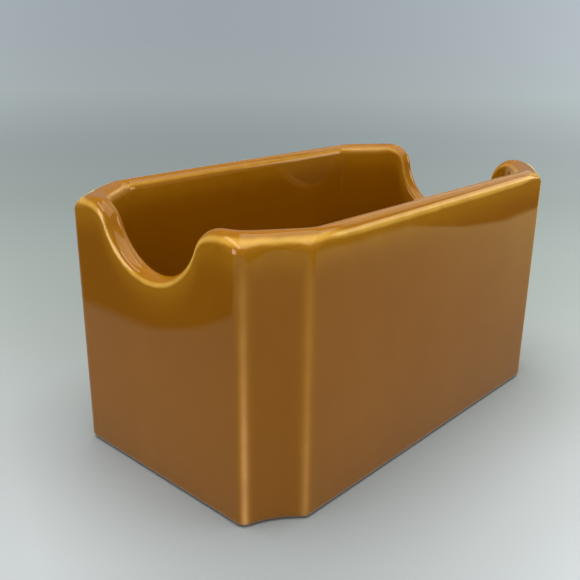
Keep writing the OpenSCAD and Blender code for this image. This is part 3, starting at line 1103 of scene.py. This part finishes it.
def beyond_painted_edge(tree, x, y):
    """1 beyond a painted edge, where reflections show the table dark, and 0 before it. The
    edge is the further away of two lines: one that steps nearer to the box on the right,
    and one that runs askew."""
    stepped = maths(tree, "MULTIPLY_ADD", steep(tree, x, *EDGE_STEP_X), EDGE_STEP_BY, EDGE_STEP_Y)
    askew = maths(tree, "MULTIPLY_ADD", x, EDGE_SLOPE, EDGE_AT_ZERO)
    edge = maths(tree, "MINIMUM", stepped, askew)
    return steep(tree, maths(tree, "SUBTRACT", edge, y), -EDGE_BLUR, EDGE_BLUR)


def dark_patch(tree, x, y):
    """1 on a dark patch with a rounded corner at the table's left, painted for reflections,
    and 0 beside it. The corner is a quarter round: the squares of two distances add up to
    the radius squared. They are the radius less the distance inside each side, and neither
    falls below 0."""
    across = maths(tree, "MAXIMUM", maths(tree, "SUBTRACT", x, DARK_PATCH_SIDES[0] - DARK_PATCH_ROUND), 0.0)
    upward = maths(tree, "MAXIMUM", maths(tree, "SUBTRACT", DARK_PATCH_SIDES[1] + DARK_PATCH_ROUND, y), 0.0)
    length = length_of(tree, add(tree, "CombineXYZ", X=across, Y=upward).outputs[0])
    return steep(tree, length, DARK_PATCH_ROUND + EDGE_BLUR, DARK_PATCH_ROUND - EDGE_BLUR)


def table_material():
    """To the camera and to diffuse rays, the tone, matt near the box and glowing further
    away. To glossy rays, a painted reflection: a plain glow with dark patches on it."""
    material, tree, surface = new_material("table")
    place = add(tree, "TexCoord").outputs["Object"]
    ray = add(tree, "LightPath")
    tone = seen_tone(tree, place)
    matt = add(tree, "BsdfDiffuse", Color=times(tree, tone, 1 / LIGHT_ON_TABLE)).outputs[0]
    glow = add(tree, "Emission", Color=tone).outputs[0]
    beyond = steep(tree, length_of(tree, place), MATT_WITHIN, GLOW_BEYOND)
    far = maths(tree, "MULTIPLY", beyond, ray.outputs["Is Camera Ray"])
    shown = add(tree, "MixShader", i0=far, i1=matt, i2=glow).outputs[0]
    split = add(tree, "SeparateXYZ", Vector=place)
    x, y = split.outputs["X"], split.outputs["Y"]
    rightward = steep(tree, x, MIRRORED_FROM, MIRRORED_TO)
    plain = ramp(tree, rightward, [(0.0, MIRRORED_NEAR), (1.0, MIRRORED_RIGHT)])
    mirrored_pale = add(tree, "Emission", Color=plain).outputs[0]
    dark = add(tree, "Emission", Color=(*MIRRORED_DARK, 1)).outputs[0]
    darkness = maths(tree, "MAXIMUM", beyond_painted_edge(tree, x, y), dark_patch(tree, x, y))
    mirrored = add(tree, "MixShader", i0=darkness, i1=mirrored_pale, i2=dark).outputs[0]
    final = add(tree, "MixShader", i0=ray.outputs["Is Glossy Ray"], i1=shown, i2=mirrored).outputs[0]
    tree.links.new(final, surface)
    return material


table.data.materials.append(table_material())
print("table: matt within", round(MATT_WITHIN / MM), "mm, glowing past", round(GLOW_BEYOND / MM), "mm")

# %% [markdown]
# ## The light
#
# A large soft lamp overhead lights the table and the box evenly, and the room adds a
# dimmer light from all sides. The overhead lamp doesn't show in reflections. Windows show
# only there, and light nothing: they are bright panes far away to the right, to the left
# and high above, each placed where a rounded edge of the box mirrors that direction to
# the camera. They make the thin gold lines on the rim and the edges of the cuts shine.

# %% World
ROOM_COLOUR = (0.96, 0.99, 1.0, 1)
ROOM_LIGHT = 0.55
ROOM_MIRRORED = 0.15
ROOM_MIRRORED_AHEAD = 0.1
LEAST_AHEAD = 0.02


def set_world():
    """Even grey light, the colour of the table's far end to the camera, and a dimmer grey
    in reflections, which is a little brighter ahead."""
    world = bpy.data.worlds.new("room")
    scene.world = world
    world.use_nodes = True
    tree = world.node_tree
    tree.nodes.clear()
    ray = add(tree, "LightPath")
    light = add(tree, "Background", Color=ROOM_COLOUR, Strength=ROOM_LIGHT).outputs[0]
    sight = add(tree, "TexCoord").outputs["Generated"]
    ahead = along(tree, sight, GROUND_ALONG)
    forward = maths(tree, "MAXIMUM", ahead, LEAST_AHEAD)
    glow = maths(tree, "MULTIPLY_ADD", forward, ROOM_MIRRORED_AHEAD, ROOM_MIRRORED)
    mirrored = add(tree, "Background", Color=ROOM_COLOUR, Strength=glow).outputs[0]
    level = maths(tree, "MAXIMUM", maths(tree, "ABSOLUTE", ahead), LEAST_AHEAD)
    slope = maths(tree, "DIVIDE", along(tree, sight, GROUND_RIGHT), level)
    # Painted light: the background is brighter to both sides, as the table is.
    horizon = (*TABLE_TONES[-1][1], 1)
    seen = add(tree, "Background", Color=horizon, Strength=side_factor(tree, slope)).outputs[0]
    inner = add(tree, "MixShader", i0=ray.outputs["Is Glossy Ray"], i1=light, i2=mirrored).outputs[0]
    whole = add(tree, "MixShader", i0=ray.outputs["Is Camera Ray"], i1=inner, i2=seen).outputs[0]
    output = add(tree, "OutputWorld")
    tree.links.new(whole, output.inputs["Surface"])


set_world()
print("room light:", ROOM_LIGHT, "and in reflections:", ROOM_MIRRORED)

# %% Lamps
OVERHEAD_PLACE = (-0.02, 0.0, 1.0)
OVERHEAD_SIZE = (0.9, 0.9)
OVERHEAD_POWER = 8.2
WINDOW_DISTANCE = 2.5
AIM_HEIGHT = 45 * MM
# Windows: name, azimuth and elevation, degrees wide and high, radiance and colour
WINDOWS = (
    ("window_right", -29, 16, 26, 17, 3.6, (1.0, 0.75, 0.42)),
    ("window_side", 8, 30, 40, 24, 0.65, (0.95, 1.0, 0.85)),
    ("window_left", 163, 17, 30, 34, 6.3, (1.0, 0.7, 0.58)),
    ("window_left_upper", 160, 62, 40, 12, 4.0, (1.0, 0.75, 0.7)),
    ("window_above", -60, 76, 70, 56, 1.4, (0.95, 1.0, 0.8)),
)


def area_lamp(name, place, target, size, power, colour=(1, 1, 1)):
    """A rectangular lamp with its sides level and upright. It faces a target that isn't
    straight below it."""
    data = bpy.data.lights.new(name, "AREA")
    data.shape = "RECTANGLE"
    data.size, data.size_y = size
    data.energy = power
    data.color = colour
    lamp = bpy.data.objects.new(name, data)
    scene.collection.objects.link(lamp)
    back = np.subtract(place, target)
    back /= np.linalg.norm(back)
    side = np.cross([0, 0, 1], back)
    side /= np.linalg.norm(side)
    set_matrix(lamp, (side, np.cross(back, side), back), place)
    return lamp


def window(name, azimuth, elevation, wide, high, radiance, colour):
    """A lamp that lights nothing and shows in the glaze as a bright pane in a given
    direction, so many degrees wide and high. Its power is its radiance times its area
    times pi."""
    azimuth, elevation = math.radians(azimuth), math.radians(elevation)
    flat = WINDOW_DISTANCE * math.cos(elevation)
    height = AIM_HEIGHT + WINDOW_DISTANCE * math.sin(elevation)
    place = (flat * math.cos(azimuth), flat * math.sin(azimuth), height)
    size = [2 * WINDOW_DISTANCE * math.tan(math.radians(angle) / 2) for angle in (wide, high)]
    power = radiance * size[0] * size[1] * math.pi
    lamp = area_lamp(name, place, (0, 0, AIM_HEIGHT), size, power, colour)
    lamp.visible_diffuse = False


overhead = area_lamp("soft_overhead", OVERHEAD_PLACE, (0, 0, 0), OVERHEAD_SIZE, OVERHEAD_POWER)
overhead.visible_glossy = False
for pane in WINDOWS:
    window(*pane)

# %% [markdown]
# ## Closing
#
# Both boxes, that of the imported model and that of the dressed one, are printed.
# The dressed model has to stay inside the box of the imported one.

# %% Sizes and finish
low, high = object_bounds()
sizes = {
    "cad": [[float(v) for v in cad_low], [float(v) for v in cad_high]],
    "visual": [[float(v) for v in low], [float(v) for v in high]],
}
for name, corners in sizes.items():
    print(name, "box in mm:", np.round(np.array(corners) / MM, 3).tolist())
